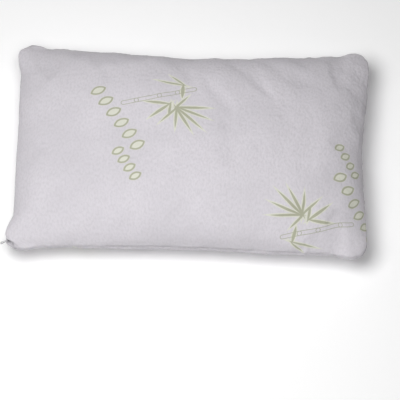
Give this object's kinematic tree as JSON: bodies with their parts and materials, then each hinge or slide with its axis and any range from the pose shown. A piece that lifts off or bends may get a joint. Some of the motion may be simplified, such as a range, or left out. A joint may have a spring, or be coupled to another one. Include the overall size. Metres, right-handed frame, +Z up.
{
  "type": "bed pillow",
  "caption": "Queen-size bed pillow of shredded foam in a liner bag and a knitted cover with a pale leaf print; the cover zips open at a short side.",
  "frame": {"origin": "centre of the face that the pillow rests on", "axes": "+X along the length, away from the zip; +Y along the width, the way the slider opens the zip; +Z up"},
  "size_m": [0.7197, 0.45, 0.149],
  "materials": {
    "knit_cover": "matt jacquard knit with a pale green leaf print",
    "white_thread": "matt sewing thread",
    "liner_cloth": "thin plain weave",
    "label_satin": "satin weave, blank",
    "shredded_foam": "soft foam crumbs",
    "zip_tape": "woven twill tape",
    "zip_coil": "satin nylon",
    "zip_metal": "dull nickel plate"
  },
  "bodies": {
    "pillow": {"cover_top_panel": "knit_cover", "cover_bottom_panel": "knit_cover", "cover_seam_overlock": "white_thread", "care_label": "label_satin", "liner_top_panel": "liner_cloth", "liner_bottom_panel": "liner_cloth", "liner_seam_overlock": "white_thread", "foam_fill": "shredded_foam", "zipper_tape_upper": "zip_tape", "zipper_tape_lower": "zip_tape", "zipper_coil_upper": "zip_coil", "zipper_coil_lower": "zip_coil", "zipper_stitching_upper": "white_thread", "zipper_stitching_lower": "white_thread", "zipper_end_tack_front": "white_thread", "zipper_end_tack_rear": "white_thread"},
    "slider": {"zipper_slider_body": "zip_metal"},
    "pull": {"zipper_pull_tab": "zip_metal"}
  },
  "joints": [
    {"name": "slider_travel", "type": "slide", "parent": "pillow", "child": "slider", "axis": [0, 1, 0], "range_m": [0, 0.409]},
    {"name": "pull_swing", "type": "hinge", "parent": "slider", "child": "pull", "pos_m": [-0.3479, -0.2045, 0.068], "axis": [0, 0, 1], "range_deg": [-110, 58]}
  ]
}
